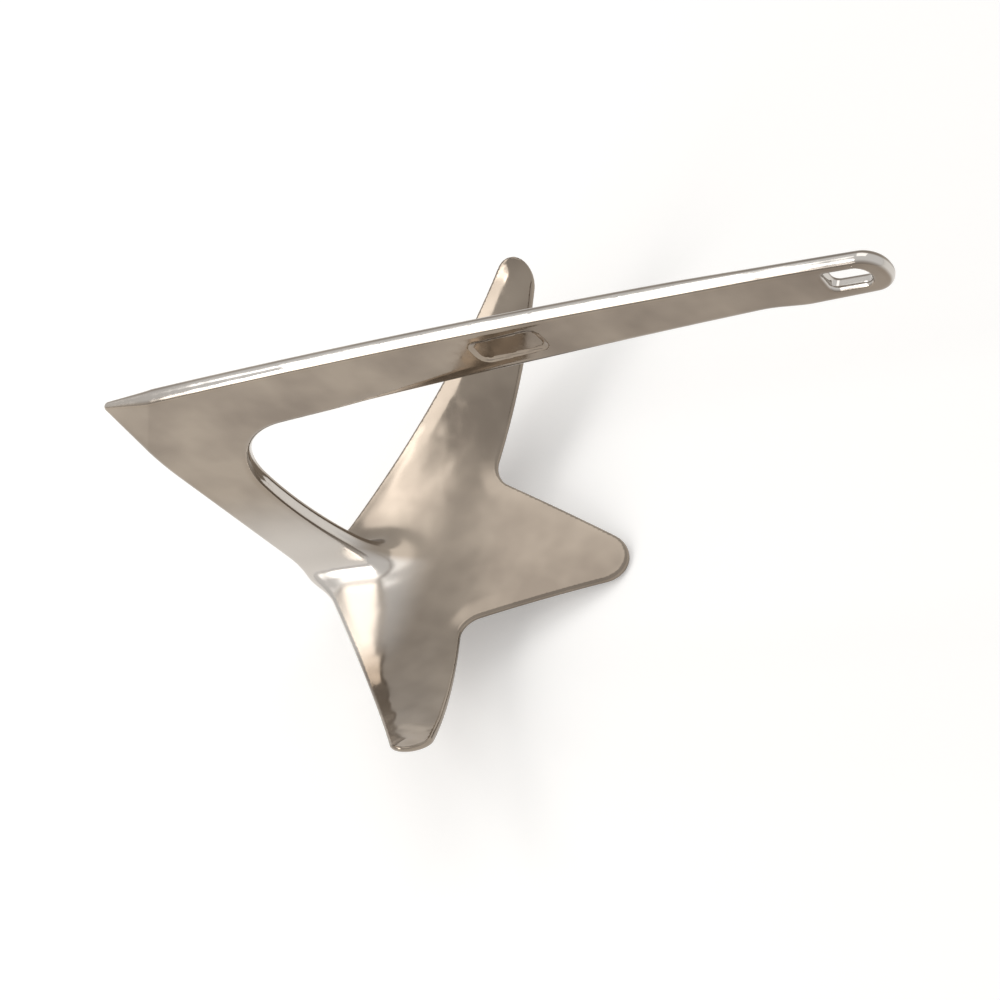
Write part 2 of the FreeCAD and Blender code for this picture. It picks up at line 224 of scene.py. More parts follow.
@dataclass
class BentBar:
    """Shank, crown and arm: one bent bar, rounded along its edges and thinned to both ends.

    Neck and swell each give a distance from the eye's end, a depth below the top and a radius.
    Knee gives a place and a radius, and recess its start, centre height, length and height.
    The middle line parts the upper edges from the lower ones: its height, climb and bend.
    """

    length: float = 605.98
    thickness: float = 13.2
    rise: float = 16.3
    top_radius: float = 6250.0
    low_radius: float = 8800.0
    neck: tuple[float, float, float] = (96.0, 35.5, 90.0)
    swell: tuple[float, float, float] = (66.0, 38.0, 60.0)
    eye_depth: float = 36.0
    eye_corner: float = 17.0
    eye_thickness: float = 11.3
    eye_taper: tuple[float, float] = (440.0, 545.0)
    nose_radius: float = 4.0
    nose_drop: float = 9.5
    nose_edge: float = 5.0
    crease_low: tuple[float, float] = (7.6, -53.6)
    crease_top: tuple[float, float] = (42.0, -2.0)
    crease_softness: float = 1.2
    crown_low: float = -51.8
    crown_depth: float = 64.7
    crown_corner: float = 60.0
    knee: tuple[float, float, float] = (2.2, -50.0, 220.0)
    foot_x: float = 28.6
    foot_z: float = -240.4
    foot_depth: float = 79.6
    front_radius: float = 234.0
    heel_radius: float = 36.0
    slot_length: float = 31.0
    slot_height: float = 16.8
    slot_end_wall: float = 14.0
    slot_top_wall: float = 8.9
    slot_corner: float = 4.0
    slot_lip: float = 3.6
    under_round: float = 6.2
    top_round: float = 5.6
    slope_width: tuple[float, float] = (13.0, 7.0)
    slope_depth: float = 3.9
    slope_roundness: float = 0.98
    slope_start: tuple[float, float] = (158.0, 196.0)
    slope_narrowing: tuple[float, float] = (270.0, 340.0)
    slope_end: tuple[float, float] = (530.0, 440.0)
    middle_line: tuple[float, float, float] = (-32.4, 0.0816, -4.0e-5)
    edge_margin: float = 0.3
    recess: tuple[float, float, float, float] = (293.5, -8.2, 57.0, 24.0)
    recess_depth: float = 1.3
    recess_corner: float = 9.0
    recess_slope: float = 3.6
    recess_tilt: float = 5.0

    def __post_init__(self) -> None:
        """Lay out the outlines once."""
        self.half = self.thickness / 2.0
        self.side = Belt(self._side_pulleys())
        self.slot = Belt(self._slot_pulleys())
        self.pocket = Belt(self._pocket_pulleys())

    def _side_pulleys(self) -> list[Pulley]:
        """Side view, down the arm's back, up its front and round the shank.

        Returns:
            The circles that the outline runs round.
        """
        foot_end = (self.foot_x + self.foot_depth, self.foot_z, 0.0)
        corner_x = self.crown_depth + self.crown_corner
        corner = (corner_x, self.crown_low - self.crown_corner, -self.crown_corner)
        neck_end, neck_depth, neck_radius = self.neck
        swell_end, swell_depth, swell_radius = self.swell
        neck = (self.length - neck_end, self.rise - neck_depth - neck_radius, -neck_radius)
        eye_x = self.length - self.eye_corner
        eye_top = (eye_x, self.rise - self.eye_corner, self.eye_corner)
        nose = (self.nose_radius, -self.nose_drop, self.nose_radius)
        knee_x, knee_z, knee_radius = self.knee
        return [
            nose,
            (knee_x + knee_radius, knee_z, knee_radius),
            (self.foot_x + self.heel_radius, self.foot_z + self.heel_radius, self.heel_radius),
            foot_end,
            wrap_pulley(foot_end, corner, -self.front_radius),
            corner,
            wrap_pulley(corner, neck, -self.low_radius),
            neck,
            (self.length - swell_end, self.rise - swell_depth + swell_radius, swell_radius),
            (eye_x, self.rise - self.eye_depth + self.eye_corner, self.eye_corner),
            eye_top,
            wrap_pulley(eye_top, nose, self.top_radius),
        ]

    def _slot_pulleys(self) -> list[Pulley]:
        """Shackle slot, with a round end at the eye and a squarer one inwards.

        Returns:
            The circles that its outline runs round.
        """
        end_x = self.length - self.slot_end_wall
        top_z = self.rise - self.slot_top_wall
        low_z = top_z - self.slot_height
        start_x = end_x - self.slot_length + self.slot_corner
        return [
            (end_x - self.slot_height / 2.0, (top_z + low_z) / 2.0, self.slot_height / 2.0),
            (start_x, top_z - self.slot_corner, self.slot_corner),
            (start_x, low_z + self.slot_corner, self.slot_corner),
        ]

    def _pocket_pulleys(self) -> list[Pulley]:
        """Shallow pocket in the near side, level in its own axes.

        Returns:
            The circles at its corners.
        """
        _, _, length, height = self.recess
        inset = length / 2.0 - self.recess_corner
        rise = height / 2.0 - self.recess_corner
        corners = ((1, -1), (1, 1), (-1, 1), (-1, -1))
        return [(u * inset, v * rise, self.recess_corner) for u, v in corners]

    def _half_thickness(self, x: np.ndarray, z: np.ndarray) -> np.ndarray:
        """Half the bar's thickness at places of the side view.

        Args:
            x: Places along the casting.
            z: Heights.

        Returns:
            One half thickness for each place.
        """
        half = self.half - rising(x, *self.eye_taper) * (self.half - self.eye_thickness / 2.0)
        (lx, lz), (tx, tz) = self.crease_low, self.crease_top
        span = math.hypot(tx - lx, tz - lz)
        ahead_x, ahead_z = -(tz - lz) / span, (tx - lx) / span
        reach = -lx * ahead_x + (-self.nose_drop - lz) * ahead_z
        ahead = (x - lx) * ahead_x + (z - lz) * ahead_z
        soft = self.crease_softness
        run = np.where(ahead > soft, ahead, np.maximum(ahead + soft, 0.0) ** 2 / (4.0 * soft))
        return half - run * (self.half - self.nose_edge / 2.0) / reach

    def _pocket_depth(self, x: np.ndarray, z: np.ndarray) -> np.ndarray:
        """Depth of the pocket in the near face at places of the side view.

        Args:
            x: Places along the casting.
            z: Heights.

        Returns:
            One depth for each place.
        """
        start_x, centre_z, length, _ = self.recess
        tilt = math.radians(self.recess_tilt)
        dx, dz = x - start_x - length / 2.0, z - centre_z
        u = dx * math.cos(tilt) + dz * math.sin(tilt)
        v = dz * math.cos(tilt) - dx * math.sin(tilt)
        return self.recess_depth * smooth_step(-self.pocket.distance(u, v) / self.recess_slope)

    def _under_slope(self, x: np.ndarray, outer: np.ndarray) -> np.ndarray:
        """Thickness that each side face loses where it rolls under the shank.

        Args:
            x: Places along the casting.
            outer: Signed distances to the outline of the side view.

        Returns:
            One thickness for each place.
        """
        wide, narrow = self.slope_width
        width = wide + (narrow - wide) * rising(x, *self.slope_narrowing)
        share = np.clip(1.0 + outer / width, 0.0, 1.0)
        present = rising(x, *self.slope_start) * rising(x, *self.slope_end)
        return present * self.slope_depth * (1.0 - np.sqrt(1.0 - share * share * self.slope_roundness))

    def profile(self, x: np.ndarray, z: np.ndarray) -> Profile:
        """Everything that depends on the side view alone.

        Args:
            x: Places along the casting.
            z: Heights.

        Returns:
            Distance to the outline and slot, half thickness, pocket depth and edge radius.
        """
        outer = self.side.distance(x, z)
        slot = -self.slot.distance(x, z)
        half = self._half_thickness(x, z)
        base, climb, bend = self.middle_line
        middle = base + climb * x + bend * x * x
        half = half - self._under_slope(x, outer) * (z < middle)
        radius = np.where(z > middle, self.top_round, self.under_round)
        radius = np.where(slot > outer, self.slot_lip, radius)
        radius = np.minimum(radius, half - self.edge_margin)
        return np.maximum(outer, slot), half, self._pocket_depth(x, z), radius

    def distance(self, profile: Profile, y: np.ndarray | float) -> np.ndarray:
        """Signed distance to the bar.

        Args:
            profile: What the side view alone gives.
            y: Places across the casting.

        Returns:
            One distance for each point.
        """
        outline, half, pocket, radius = profile
        sunk = np.where(np.asarray(y) < 0.0, pocket, 0.0)
        return rounded_slab(outline, np.abs(y) - half + sunk, radius)


@dataclass
class Claw:
    """Three-fluked claw: a saddle-shaped plate over thick spines.

    Notch and sweep each give a place along and across the claw and a radius, and a tip or heel
    end a place and a radius. The shares give the spines' thickness from the palm's to the tips'.
    """

    heel: tuple[float, float] = (27.2, -223.4)
    pitch: float = 10.0
    hollow_radius: float = 309.0
    arch_radius: float = 525.0
    reach: float = 240.0
    half_width: float = 198.0
    plate: float = 6.0
    central_tip: float = 20.0
    side_tip: tuple[float, float] = (146.7, 14.2)
    notch: tuple[float, float, float] = (154.0, 68.0, 16.0)
    sweep: tuple[float, float, float] = (-8.0, 55.0, 44.7)
    heel_end: tuple[float, float] = (9.0, 4.2)
    palm: float = 38.5
    rim_round: float = 2.7
    rim_margin: float = 0.12
    roll_width: float = 18.0
    roll_drop: float = 1.0
    spine_blend: float = 8.0
    spine_spread: float = 1.08
    spine_fullness: float = 0.8
    spine_start: float = 10.0
    palm_shares: tuple[float, float, float] = (0.8, 0.55, 0.36)
    tip_shares: tuple[float, float] = (0.75, 0.35)
    # Offset from the middle, place of the centre and half width of the spine under the side flukes.
    side_spine: tuple[tuple[float, float, float], ...] = (
        (0.0, 78.0, 38.0),
        (68.0, 95.5, 37.0),
        (125.9, 120.5, 23.5),
        (155.8, 133.5, 16.0),
        (183.8, 146.7, 8.2),
        (198.0, 152.0, 5.0),
    )
    # Place along the claw and half width of the spine under the central fluke.
    central_spine: tuple[tuple[float, float], ...] = (
        (4.0, 3.0),
        (24.0, 16.0),
        (70.0, 44.0),
        (144.0, 42.0),
        (187.0, 27.0),
        (220.0, 14.0),
        (240.0, 8.0),
    )

    def __post_init__(self) -> None:
        """Lay out the plan, the saddle and the spines once."""
        angle = math.radians(self.pitch)
        self.forward = (math.cos(angle), -math.sin(angle))
        self.upward = (math.sin(angle), math.cos(angle))
        crest = (self.reach / 2.0) ** 2 / (2.0 * self.arch_radius)
        lift = crest - self.arch_radius
        self.centre_x = self.heel[0] + self.forward[0] * self.reach / 2.0 + self.upward[0] * lift
        self.centre_z = self.heel[1] + self.forward[1] * self.reach / 2.0 + self.upward[1] * lift
        self.plan = Belt(self._plan_pulleys())
        self._lay_spines()

    def _plan_pulleys(self) -> list[Pulley]:
        """Star outline seen square to the claw, with the heel at the origin.

        Returns:
            The circles that the outline runs round.
        """
        tip_x, tip_radius = self.side_tip
        notch_x, notch_y, notch_radius = self.notch
        sweep_x, sweep_y, sweep_radius = self.sweep
        heel_x, heel_radius = self.heel_end
        far_side = [
            (notch_x, notch_y, -notch_radius),
            (tip_x, self.half_width - tip_radius, tip_radius),
            (sweep_x, sweep_y, -sweep_radius),
        ]
        near_side = [(x, -y, radius) for x, y, radius in reversed(far_side)]
        tip = (self.reach - self.central_tip, 0.0, self.central_tip)
        return [tip, *far_side, (heel_x, 0.0, heel_radius), *near_side]

    def _lay_spines(self) -> None:
        """Centre, half width and thickness of the spines along the side and central flukes."""
        thick, medium, thin = (share * self.palm for share in self.palm_shares)
        near_tip, tip = (share * self.plate for share in self.tip_shares)
        side_thickness = (self.palm, thick, medium, thin, near_tip, tip)
        side = [(*row, t) for row, t in zip(self.side_spine, side_thickness)]
        both = [(-o, a, w, t) for o, a, w, t in reversed(side[1:])] + side
        offsets = [row[0] for row in both]
        self.side_centre, self.side_width, self.side_thickness = (
            SmoothCurve(offsets, [row[k] for row in both]) for k in (1, 2, 3)
        )
        central_thickness = (self.spine_start, thick, self.palm, thick, medium, near_tip, tip)
        central = [(*row, t) for row, t in zip(self.central_spine, central_thickness)]
        advances = [row[0] for row in central]
        self.central_width, self.central_thickness = (
            SmoothCurve(advances, [row[k] for row in central]) for k in (1, 2)
        )

    def _spine(self, away: np.ndarray, width: np.ndarray, thickness: np.ndarray) -> np.ndarray:
        """Thickness under the hollow at a distance from a spine's centre line.

        Args:
            away: Distances from the centre line.
            width: Half width of the spine there.
            thickness: Thickness at the centre line there.

        Returns:
            One thickness for each distance.
        """
        share = np.maximum(1.0 - (away / (width * self.spine_spread)) ** 2, 0.0)
        base = self.plate / 2.0
        return base + (thickness - base) * share**self.spine_fullness

    def distance(self, x: np.ndarray, y: np.ndarray | float, z: np.ndarray) -> np.ndarray:
        """Signed distance to the claw.

        Args:
            x: Places along the casting.
            y: Places across it.
            z: Heights.

        Returns:
            One distance for each point, true near the surface.
        """
        dx, dz = x - self.centre_x, z - self.centre_z
        step = dx * self.forward[0] + dz * self.forward[1]
        lift = dx * self.upward[0] + dz * self.upward[1]
        major = self.arch_radius + self.hollow_radius
        depth = np.hypot(major - np.hypot(step, lift), y) - self.hollow_radius
        advance = step + self.reach / 2.0
        offset = np.broadcast_to(y, advance.shape)
        star = self.plan.distance(advance, offset)
        away = advance - self.side_centre.at(offset)
        side = self._spine(away, self.side_width.at(offset), self.side_thickness.at(offset))
        central = self._spine(offset, self.central_width.at(advance), self.central_thickness.at(advance))
        spines = soft_upper(side, central, self.spine_blend)
        thickness = soft_upper(spines, np.full_like(spines, self.plate), self.spine_blend / 2.0)
        rolled = self.roll_drop * smooth_step(1.0 + star / self.roll_width) ** 2
        half = (thickness - rolled) / 2.0
        across = np.abs(depth - (rolled + thickness) / 2.0) - half
        return rounded_slab(star, across, np.minimum(self.rim_round, half - self.rim_margin))


@dataclass
class RestPose:
    """How the casting comes to lie on a floor, from its drawing frame to the row frame."""

    tilt: float = -2.0524033
    shift: tuple[float, float, float] = (-303.0274848, 0.0, 261.0302796)

    def matrix(self) -> Matrix:
        """Transform from drawing millimetres to row metres."""
        turn = Matrix.Rotation(math.radians(self.tilt), 4, "Y")
        return Matrix.Scale(MILLIMETRE, 4) @ Matrix.Translation(self.shift) @ turn


@dataclass
class NodeSketch:
    """Material or world tree under construction."""

    tree: bpy.types.NodeTree

    def add(self, kind: str, settings: dict | None = None, links: dict | None = None) -> bpy.types.Node:
        """Add a node.

        Args:
            kind: Type name of the node.
            settings: Attributes, or input sockets by name or number, and their values.
            links: Input sockets by name or number, and the output sockets that feed them.

        Returns:
            The new node.
        """
        node = self.tree.nodes.new(kind)
        for key, value in (settings or {}).items():
            if isinstance(key, str) and hasattr(node, key):
                setattr(node, key, value)
            else:
                node.inputs[key].default_value = value
        for key, socket in (links or {}).items():
            self.tree.links.new(socket, node.inputs[key])
        return node


class Measure(Enum):
    """What a level goes by as it changes over the surface."""

    ALONG = "metres along the anchor, towards the eye"
    ACROSS = "metres across it, negative on the near side"
    SIDEWAYS = "metres from its middle plane"
    HEIGHT = "metres above the floor"
    AHEAD = "metres ahead of the crease in the nose"
    FACING = "how far the surface faces across, from -1 on the near side to 1"
    CLOUDS = "wide random pattern"
    HAZE = "fine random pattern"
    WAVES = "calm random pattern"


class Ease(Enum):
    """How a change begins and ends."""

    STRAIGHT = "LINEAR"
    SOFT = "SMOOTHSTEP"


class Joining(Enum):
    """How several changes make one level."""

    SUM = "ADD"
    PRODUCT = "MULTIPLY"


@dataclass(frozen=True)
class Change:
    """One value turning into another while a measure runs from start to end."""

    measure: Measure
    start: float
    end: float
    before: float = 0.0
    after: float = 1.0
    ease: Ease = Ease.SOFT


@dataclass(frozen=True)
class Level:
    """Value that varies over the surface, made of changes that are joined."""

    joining: Joining
    changes: tuple[Change, ...]

    def draw(self, sketch: NodeSketch, measures: dict[Measure, Socket]) -> Socket:
        """Draw the level.

        Args:
            sketch: Tree that it is drawn in.
            measures: Sockets that give the measures.

        Returns:
            Socket that gives the level.
        """
        level = None
        for change in self.changes:
            settings = {
                "interpolation_type": change.ease.value,
                "From Min": change.start,
                "From Max": change.end,
                "To Min": change.before,
                "To Max": change.after,
            }
            ramp = sketch.add("ShaderNodeMapRange", settings, {"Value": measures[change.measure]})
            part = ramp.outputs["Result"]
            if level is None:
                level = part
            else:
                joined = sketch.add("ShaderNodeMath", {"operation": self.joining.value}, {0: level, 1: part})
                level = joined.outputs[0]
        return level


@dataclass(frozen=True)
class PolishedStainless:
    """Cast stainless steel, ground and polished to a mirror that still waves a little."""

    # Tones of the metal. Their mix also carries painted reflection: darker towards the eye, brighter on the
    # nose.
    bright: str = "#A39789"
    dull: str = "#7F7469"
    # Colour of the painted highlights on the bar's edges and the arm's foot.
    painted_highlight: str = "#D0CBC5"
    satin: float = 0.2
    # Dull clouds a few centimetres wide lie in the polish. The tone is drawn darker towards the eye, a
    # painted reflection of darker surroundings, and a little brighter on the two ground facets of the nose,
    # a painted reflection too.
    clouds_and_painted_reflection: Level = Level(
        Joining.SUM,
        (
            Change(Measure.CLOUDS, 0.36, 0.64, 0.12, 0.78, Ease.STRAIGHT),
            Change(Measure.ALONG, -0.28, 0.32, 0.16, -0.2, Ease.STRAIGHT),
            Change(Measure.AHEAD, -0.0008, 0.0008, 0.0, 0.16, Ease.STRAIGHT),
        ),
    )
    # Painted highlight: the bar is drawn paler along its near edges, its top and its underside than on its
    # sides.
    painted_edge_highlight: Level = Level(
        Joining.PRODUCT,
        (
            Change(Measure.FACING, -0.9, -0.5),
            Change(Measure.FACING, -0.02, 0.3, 1.0, 0.0),
            Change(Measure.HEIGHT, 0.05, 0.075),
            Change(Measure.SIDEWAYS, 0.009, 0.014, 1.0, 0.0),
            Change(Measure.ALONG, -0.3, -0.18, 0.55, 1.0),
        ),
    )
    # Painted highlight: the near side of the arm's foot is drawn paler too, with the palm beside it.
    painted_foot_highlight: Level = Level(
        Joining.PRODUCT,
        (
            Change(Measure.ALONG, -0.16, -0.2, 0.0, 0.8),
            Change(Measure.ACROSS, 0.0, -0.008),
            Change(Measure.SIDEWAYS, 0.07, 0.11, 1.0, 0.0),
            Change(Measure.HEIGHT, 0.07, 0.15, 1.0, 0.0),
        ),
    )
    # The palm is satin, so it blurs what it mirrors.
    satin_palm: Level = Level(
        Joining.PRODUCT,
        (
            Change(Measure.SIDEWAYS, 0.06, 0.12, 1.0, 0.0),
            Change(Measure.HEIGHT, 0.055, 0.1, 1.0, 0.0),
        ),
    )
    # Elsewhere the mirror has a slight haze.
    haze: Level = Level(Joining.SUM, (Change(Measure.HAZE, 0.35, 0.7, 0.06, 0.15, Ease.STRAIGHT),))
    # Long low waves bend what it mirrors, most of all on the side flukes.
    waviness: Level = Level(
        Joining.SUM, (Change(Measure.SIDEWAYS, 0.035, 0.09, 0.5 * MILLIMETRE, 1.5 * MILLIMETRE),)
    )
    # Width of each pattern's drifts in millimetres, and its detail. Polishing marks are too fine
    # to show, so the haze that they leave is drawn 9 mm wide.
    patterns: tuple[tuple[Measure, float, float], ...] = (
        (Measure.CLOUDS, 70.0, 3.0),
        (Measure.HAZE, 9.0, 6.0),
        (Measure.WAVES, 42.0, 1.6),
    )
    pattern_roughness: float = 0.55

    def _measures(self, sketch: NodeSketch, crease: tuple[Vector, Vector]) -> dict[Measure, Socket]:
        """Draw what the levels go by.

        Args:
            sketch: Tree that they are drawn in.
            crease: Two points of the line where the ground nose begins, in metres.

        Returns:
            The socket of each measure.
        """
        place = sketch.add("ShaderNodeTexCoord").outputs["Object"]
        axes = sketch.add("ShaderNodeSeparateXYZ", None, {"Vector": place}).outputs
        normal = sketch.add("ShaderNodeNewGeometry").outputs["Normal"]
        low, top = crease
        along = (top - low).normalized()
        ahead = Vector((-along.z, 0.0, along.x))
        reach = sketch.add(
            "ShaderNodeVectorMath", {"operation": "DOT_PRODUCT", 1: tuple(ahead)}, {0: place}
        ).outputs["Value"]
        measures = {
            Measure.ALONG: axes["X"],
            Measure.ACROSS: axes["Y"],
            Measure.SIDEWAYS: sketch.add(
                "ShaderNodeMath", {"operation": "ABSOLUTE"}, {0: axes["Y"]}
            ).outputs[0],
            Measure.HEIGHT: axes["Z"],
            Measure.AHEAD: sketch.add(
                "ShaderNodeMath", {"operation": "SUBTRACT", 1: ahead.dot(low)}, {0: reach}
            ).outputs[0],
            Measure.FACING: sketch.add("ShaderNodeSeparateXYZ", None, {"Vector": normal}).outputs["Y"],
        }
        for measure, width, detail in self.patterns:
            settings = {
                "Scale": 1.0 / (width * MILLIMETRE),
                "Detail": detail,
                "Roughness": self.pattern_roughness,
            }
            measures[measure] = sketch.add("ShaderNodeTexNoise", settings, {"Vector": place}).outputs["Fac"]
        return measures

    def material(self, crease: tuple[Vector, Vector]) -> bpy.types.Material:
        """Build the material.

        Args:
            crease: Two points of the line where the ground nose begins, in metres.

        Returns:
            The material.
        """
        material = bpy.data.materials.new("polished_cast_stainless_steel")
        material.use_nodes = True
        material.node_tree.nodes.clear()
        sketch = NodeSketch(material.node_tree)
        measures = self._measures(sketch, crease)
        tones = {FIRST_COLOUR: linear_colour(self.dull), SECOND_COLOUR: linear_colour(self.bright)}
        # Random dull clouds, with painted reflection darker towards the eye and brighter on the nose.
        clouds_and_painted_reflection = self.clouds_and_painted_reflection.draw(sketch, measures)
        tone = sketch.add("ShaderNodeMix", {"data_type": "RGBA", **tones}, {0: clouds_and_painted_reflection})
        # Painted highlights on the bar's edges and the arm's foot, laid over the tone.
        painted_highlight = sketch.add(
            "ShaderNodeMath",
            {"operation": "MAXIMUM"},
            {0: self.painted_edge_highlight.draw(sketch, measures), 1: self.painted_foot_highlight.draw(sketch, measures)},
        )
        colour = sketch.add(
            "ShaderNodeMix",
            {"data_type": "RGBA", SECOND_COLOUR: linear_colour(self.painted_highlight)},
            {0: painted_highlight.outputs[0], FIRST_COLOUR: tone.outputs[MIXED_COLOUR]},
        )
        roughness = sketch.add(
            "ShaderNodeMix",
            {"data_type": "FLOAT", SECOND_NUMBER: self.satin},
            {0: self.satin_palm.draw(sketch, measures), FIRST_NUMBER: self.haze.draw(sketch, measures)},
        )
        bump = sketch.add(
            "ShaderNodeBump",
            {"Strength": 1.0},
            {"Height": measures[Measure.WAVES], "Distance": self.waviness.draw(sketch, measures)},
        )
        shader = sketch.add(
            "ShaderNodeBsdfPrincipled",
            {"Metallic": 1.0},
            {
                "Base Color": colour.outputs[MIXED_COLOUR],
                "Roughness": roughness.outputs[0],
                "Normal": bump.outputs["Normal"],
            },
        )
        sketch.add("ShaderNodeOutputMaterial", None, {"Surface": shader.outputs["BSDF"]})
        return material


@dataclass
class FieldMesher:
    """Turns a field of signed distances into a mesh of even quads."""

    cell: float
    low: tuple[float, float, float]
    high: tuple[float, float, float]

    def axes(self) -> list[np.ndarray]:
        """Grid places along the three axes."""
        return [np.arange(a, b + self.cell, self.cell) for a, b in zip(self.low, self.high)]

    def quads(self, values: np.ndarray) -> tuple[np.ndarray, np.ndarray]:
        """Find the zero level on a grid.

        Args:
            values: Field on the grid, indexed x, y, z.

        Returns:
            Vertex places and quads of vertex numbers.
        """
        inside = values < 0.0
        shape = np.array(values.shape) - 1
        corners = [(i, j, k) for i in (0, 1) for j in (0, 1) for k in (0, 1)]
        count = np.zeros(shape, np.int8)
        for i, j, k in corners:
            count += inside[i : i + shape[0], j : j + shape[1], k : k + shape[2]]
        cells = np.argwhere((count > 0) & (count < len(corners)))
        number = np.full(shape, -1, np.int64)
        number[tuple(cells.T)] = np.arange(len(cells))
        total = np.zeros((len(cells), 3))
        crossings = np.zeros(len(cells))
        for start in corners:
            for axis in range(3):
                if start[axis]:
                    continue
                end = tuple(1 if a == axis else s for a, s in enumerate(start))
                a = values[tuple((cells + start).T)].astype(float)
                b = values[tuple((cells + end).T)].astype(float)
                crossed = (a < 0.0) != (b < 0.0)
                share = np.where(crossed, a / np.where(crossed, a - b, 1.0), 0.0)
                edge = np.asarray(end) - np.asarray(start)
                point = np.asarray(start, float) + share[:, None] * edge
                total += np.where(crossed[:, None], point, 0.0)
                crossings += crossed
        places = np.asarray(self.low) + self.cell * (cells + total / crossings[:, None])
        faces = []
        for axis in range(3):
            u, v = (axis + 1) % 3, (axis + 2) % 3
            first = np.moveaxis(inside, (axis, u, v), (0, 1, 2))
            ids = np.moveaxis(number, (axis, u, v), (0, 1, 2))
            here, there = first[:-1, 1:-1, 1:-1], first[1:, 1:-1, 1:-1]
            at = np.argwhere(here != there)
            i, j, k = at[:, 0], at[:, 1] + 1, at[:, 2] + 1
            ring = [ids[i, j - 1, k - 1], ids[i, j, k - 1], ids[i, j, k], ids[i, j - 1, k]]
            quad = np.stack(ring, axis=1)
            outward = here[tuple(at.T)]
            faces.append(np.where(outward[:, None], quad, quad[:, ::-1]))
        return places, np.concatenate(faces)


@dataclass
class AnchorCasting:
    """The whole anchor: bar and claw run into each other in soft hollows at the foot."""

    bar: BentBar
    claw: Claw
    foot_blend: float = 30.0
    claw_top: float = -100.0
    claw_end: float = 300.0
    far_away: float = 60.0
    cell: float = 1.5
    quick_cell: float = 2.6
    low: tuple[float, float, float] = (-3.0, -201.5, -292.0)
    high: tuple[float, float, float] = (609.0, 201.5, 21.0)
    probe: float = 0.04
    passes: int = 3
    least_slope: float = 0.05

    def _grid(self, mesher: FieldMesher) -> np.ndarray:
        """Field on the whole grid, one slice across at a time.

        Args:
            mesher: Grid that the field is read on.

        Returns:
            The field, indexed x, y, z.
        """
        xs, ys, zs = mesher.axes()
        x, z = np.meshgrid(xs, zs, indexing="ij")
        profile = self.bar.profile(x, z)
        part = np.s_[: int(np.searchsorted(xs, self.claw_end)), : int(np.searchsorted(zs, self.claw_top))]
        values = np.empty((len(xs), len(ys), len(zs)), np.float32)
        near_bar = self.bar.half + self.foot_blend + 2.0 * self.cell
        for j, y in enumerate(ys):
            near = abs(y) < near_bar
            layer = self.bar.distance(profile, y) if near else np.full_like(x, self.far_away)
            claw = self.claw.distance(x[part], y, z[part])
            layer[part] = soft_lower(layer[part], claw, self.foot_blend)
            values[:, j, :] = layer
        return values

    def value(self, points: np.ndarray) -> np.ndarray:
        """Field at any points.

        Args:
            points: Rows of x, y and z.

        Returns:
            One value for each point.
        """
        x, y, z = points.T
        bar = self.bar.distance(self.bar.profile(x, z), y)
        return soft_lower(bar, self.claw.distance(x, y, z), self.foot_blend)

    def gradient(self, points: np.ndarray) -> np.ndarray:
        """Slope of the field at any points.

        Args:
            points: Rows of x, y and z.

        Returns:
            One row of slopes for each point.
        """
        slope = np.zeros_like(points)
        for axis in range(3):
            step = np.zeros(3)
            step[axis] = self.probe
            slope[:, axis] = (self.value(points + step) - self.value(points - step)) / (2.0 * self.probe)
        return slope

    def _surface(self, mesher: FieldMesher) -> tuple[np.ndarray, np.ndarray, np.ndarray]:
        """Mesh the field and bring each vertex onto its zero level.

        Args:
            mesher: Grid that the field is read on.

        Returns:
            Vertex places, quads of vertex numbers and the vertices' outward directions.
        """
        places, faces = mesher.quads(self._grid(mesher))
        for _ in range(self.passes):
            slope = self.gradient(places)
            size = np.maximum((slope**2).sum(axis=1), self.least_slope)
            move = slope * (self.value(places) / size)[:, None]
            length = np.maximum(np.linalg.norm(move, axis=1), TINY)
            places = places - move * np.minimum(1.0, mesher.cell / length)[:, None]
        normals = self.gradient(places)
        normals /= np.maximum(np.linalg.norm(normals, axis=1), TINY)[:, None]
        return places, faces, normals

    def build(self, pose: RestPose, finish: PolishedStainless) -> bpy.types.Object:
        """Mesh the casting, lay it down and dress it.

        Args:
            pose: How the casting rests.
            finish: Its surface.

        Returns:
            The finished object, in metres.
        """
        cell = self.cell
        places, faces, normals = self._surface(FieldMesher(cell, self.low, self.high))
        mesh = bpy.data.meshes.new("anchor_casting")
        mesh.from_pydata(places.tolist(), [], faces.tolist())
        matrix = pose.matrix()
        mesh.transform(matrix)
        mesh.update()
        turn = np.array(matrix.to_3x3()) / MILLIMETRE
        mesh.polygons.foreach_set("use_smooth", np.ones(len(mesh.polygons), bool))
        mesh.normals_split_custom_set_from_vertices((normals @ turn.T).tolist())
        casting = bpy.data.objects.new("anchor_casting", mesh)
        bpy.context.scene.collection.objects.link(casting)
        low, top = (matrix @ Vector((x, 0.0, z)) for x, z in (self.bar.crease_low, self.bar.crease_top))
        mesh.materials.append(finish.material((low, top)))
        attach(casting, "root")
        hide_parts("claw_anchor")
        LOG.info("casting: %d vertices, %d faces", len(mesh.vertices), len(mesh.polygons))
        return casting


